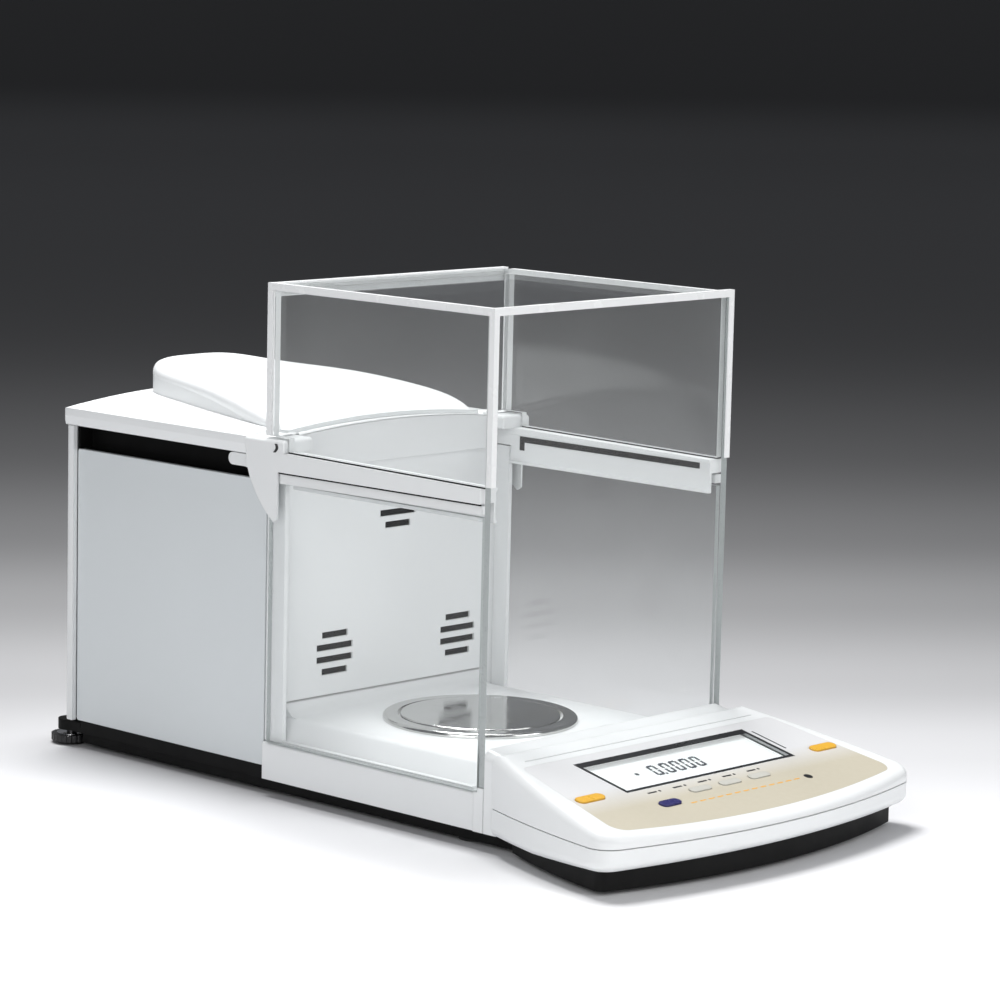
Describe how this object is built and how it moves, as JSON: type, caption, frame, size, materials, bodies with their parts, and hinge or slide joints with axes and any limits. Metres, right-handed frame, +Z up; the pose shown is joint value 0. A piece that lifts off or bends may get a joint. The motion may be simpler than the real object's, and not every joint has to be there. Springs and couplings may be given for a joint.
{
  "type": "analytical balance",
  "caption": "Analytical balance with a glass draft shield, sliding side and top doors, a round pan, a rear weigh cell housing and a wedge keypad unit.",
  "frame": {"origin": "centre of the bounding box on the bench, under the levelling feet", "axes": "+Z up, +X to the user's right, -Y towards the user"},
  "size_m": [0.2514, 0.493, 0.288],
  "materials": {
    "white_plastic": "satin",
    "white_base": "satin",
    "white_trim": "gloss",
    "grey_panel": "satin",
    "clear_glass": "clear",
    "window": "clear",
    "vial": "clear",
    "dark_plastic": "satin",
    "black_steel": "matt",
    "socket_plastic": "satin",
    "keypad_shell": "satin",
    "keypad_foil": "fine matt print",
    "orange_key": "satin",
    "blue_key": "satin",
    "grey_key": "satin",
    "lcd": "satin",
    "circuit_board": "satin",
    "stainless": "polished",
    "aluminium": "cast",
    "copper": "varnished winding",
    "magnet_steel": "plated",
    "brass": "turned",
    "motor_steel": "plated",
    "rubber": "matt",
    "foot_plastic": "satin"
  },
  "bodies": {
    "base": {"arm_left": "white_plastic", "arm_right": "white_plastic", "base_pan": "black_steel", "base_screws": "motor_steel", "base_shell": "white_base", "calibration_motor": "motor_steel", "cell_base": "aluminium", "chamber_floor": "white_base", "chassis": "aluminium", "display_board": "circuit_board", "display_lower_shell": "keypad_shell", "display_upper_shell": "keypad_shell", "display_window": "window", "front_feet": "rubber", "front_pane": "clear_glass", "front_sill": "white_base", "guide_arms": "aluminium", "hood_pane_left": "clear_glass", "hood_pane_rear": "clear_glass", "hood_pane_right": "clear_glass", "keypad_membrane": "keypad_foil", "lcd_module": "lcd", "level_vial": "vial", "lid": "white_plastic", "magnet_pot": "magnet_steel", "main_board": "circuit_board", "rail_seals": "dark_plastic", "rear_panel": "white_plastic", "rear_sockets": "socket_plastic", "rear_wall": "white_base", "shield_trims": "white_trim", "side_panel_left": "grey_panel", "side_panel_right": "grey_panel", "slot_guides": "dark_plastic", "vent_filters": "dark_plastic"},
    "left_door": {"door_glass_left": "clear_glass", "door_rail_left": "white_plastic"},
    "right_door": {"door_glass_right": "clear_glass", "door_rail_right": "white_plastic"},
    "top_door": {"top_door_glass": "clear_glass", "top_door_grip": "white_trim"},
    "pan": {"pan": "stainless"},
    "shield_ring": {"shield_ring": "stainless"},
    "load_receiver": {"load_receiver": "aluminium"},
    "beam": {"beam": "aluminium", "force_coil": "copper"},
    "calibration_lift": {"calibration_weight": "stainless", "calibration_fork": "aluminium"},
    "calibration_screw": {"calibration_screw": "brass"},
    "tare_key_left": {"tare_key_left": "orange_key"},
    "tare_key_right": {"tare_key_right": "orange_key"},
    "power_key": {"power_key": "blue_key"},
    "foot_left": {"foot_pad_left": "rubber"},
    "foot_right": {"foot_pad_right": "rubber"},
    "foot_screw_left": {"foot_screw_left": "foot_plastic"},
    "foot_screw_right": {"foot_screw_right": "foot_plastic"},
    "soft_key_1": {"soft_key_1": "grey_key"},
    "soft_key_2": {"soft_key_2": "grey_key"},
    "soft_key_3": {"soft_key_3": "grey_key"}
  },
  "joints": [
    {"name": "left_door_slide", "type": "slide", "parent": "base", "child": "left_door", "axis": [0, 1, 0], "range_m": [0, 0.131]},
    {"name": "right_door_slide", "type": "slide", "parent": "base", "child": "right_door", "axis": [0, 1, 0], "range_m": [0, 0.131]},
    {"name": "top_door_slide", "type": "slide", "parent": "base", "child": "top_door", "axis": [0, 1, 0], "range_m": [0, 0.15]},
    {"name": "load_travel", "type": "slide", "parent": "base", "child": "load_receiver", "axis": [0, 0, 1], "range_m": [-0.0006, 0.0004], "stiffness_N_per_m": 20000, "springref_m": 0.0001},
    {"name": "beam_tilt", "type": "hinge", "parent": "base", "child": "beam", "pos_m": [0, 0.1345, 0.063], "axis": [1, 0, 0], "range_deg": [-0.9, 1.3]},
    {"name": "pan_lift_off", "type": "slide", "parent": "load_receiver", "child": "pan", "axis": [0, 0, 1], "range_m": [0, 0.04]},
    {"name": "ring_lift_off", "type": "slide", "parent": "base", "child": "shield_ring", "axis": [0, 0, 1], "range_m": [0, 0.04]},
    {"name": "calibration_lift", "type": "slide", "parent": "base", "child": "calibration_lift", "axis": [0, 0, 1], "range_m": [-0.0039, 0]},
    {"name": "calibration_screw_turn", "type": "hinge", "parent": "base", "child": "calibration_screw", "pos_m": [0, 0.1165, 0.11], "axis": [0, 0, 1], "range_deg": [-1410, 1]},
    {"name": "tare_key_left_press", "type": "slide", "parent": "base", "child": "tare_key_left", "axis": [0, 0.2149, -0.9766], "range_m": [0, 0.0006], "stiffness_N_per_m": 900},
    {"name": "tare_key_right_press", "type": "slide", "parent": "base", "child": "tare_key_right", "axis": [0, 0.2149, -0.9766], "range_m": [0, 0.0006], "stiffness_N_per_m": 900},
    {"name": "power_key_press", "type": "slide", "parent": "base", "child": "power_key", "axis": [0, 0.2149, -0.9766], "range_m": [0, 0.0006], "stiffness_N_per_m": 900},
    {"name": "soft_key_1_press", "type": "slide", "parent": "base", "child": "soft_key_1", "axis": [0, 0.2149, -0.9766], "range_m": [0, 0.0006], "stiffness_N_per_m": 900},
    {"name": "soft_key_2_press", "type": "slide", "parent": "base", "child": "soft_key_2", "axis": [0, 0.2149, -0.9766], "range_m": [0, 0.0006], "stiffness_N_per_m": 900},
    {"name": "soft_key_3_press", "type": "slide", "parent": "base", "child": "soft_key_3", "axis": [0, 0.2149, -0.9766], "range_m": [0, 0.0006], "stiffness_N_per_m": 900},
    {"name": "foot_left_height", "type": "slide", "parent": "base", "child": "foot_left", "axis": [0, 0, -1], "range_m": [-0.002, 0.002]},
    {"name": "foot_left_turn", "type": "hinge", "parent": "foot_left", "child": "foot_screw_left", "pos_m": [-0.084, 0.2345, 0.005], "axis": [0, 0, -1], "range_deg": [-721, 721]},
    {"name": "foot_right_height", "type": "slide", "parent": "base", "child": "foot_right", "axis": [0, 0, -1], "range_m": [-0.002, 0.002]},
    {"name": "foot_right_turn", "type": "hinge", "parent": "foot_right", "child": "foot_screw_right", "pos_m": [0.084, 0.2345, 0.005], "axis": [0, 0, -1], "range_deg": [-721, 721]}
  ],
  "couplings": [
    {"joint": "beam_tilt", "follows": "load_travel", "rad_per_m": -34.483},
    {"joint": "calibration_screw_turn", "follows": "calibration_lift", "rad_per_m": 6283.2},
    {"joint": "foot_left_turn", "follows": "foot_left_height", "rad_per_m": 6283.2},
    {"joint": "foot_right_turn", "follows": "foot_right_height", "rad_per_m": 6283.2}
  ]
}
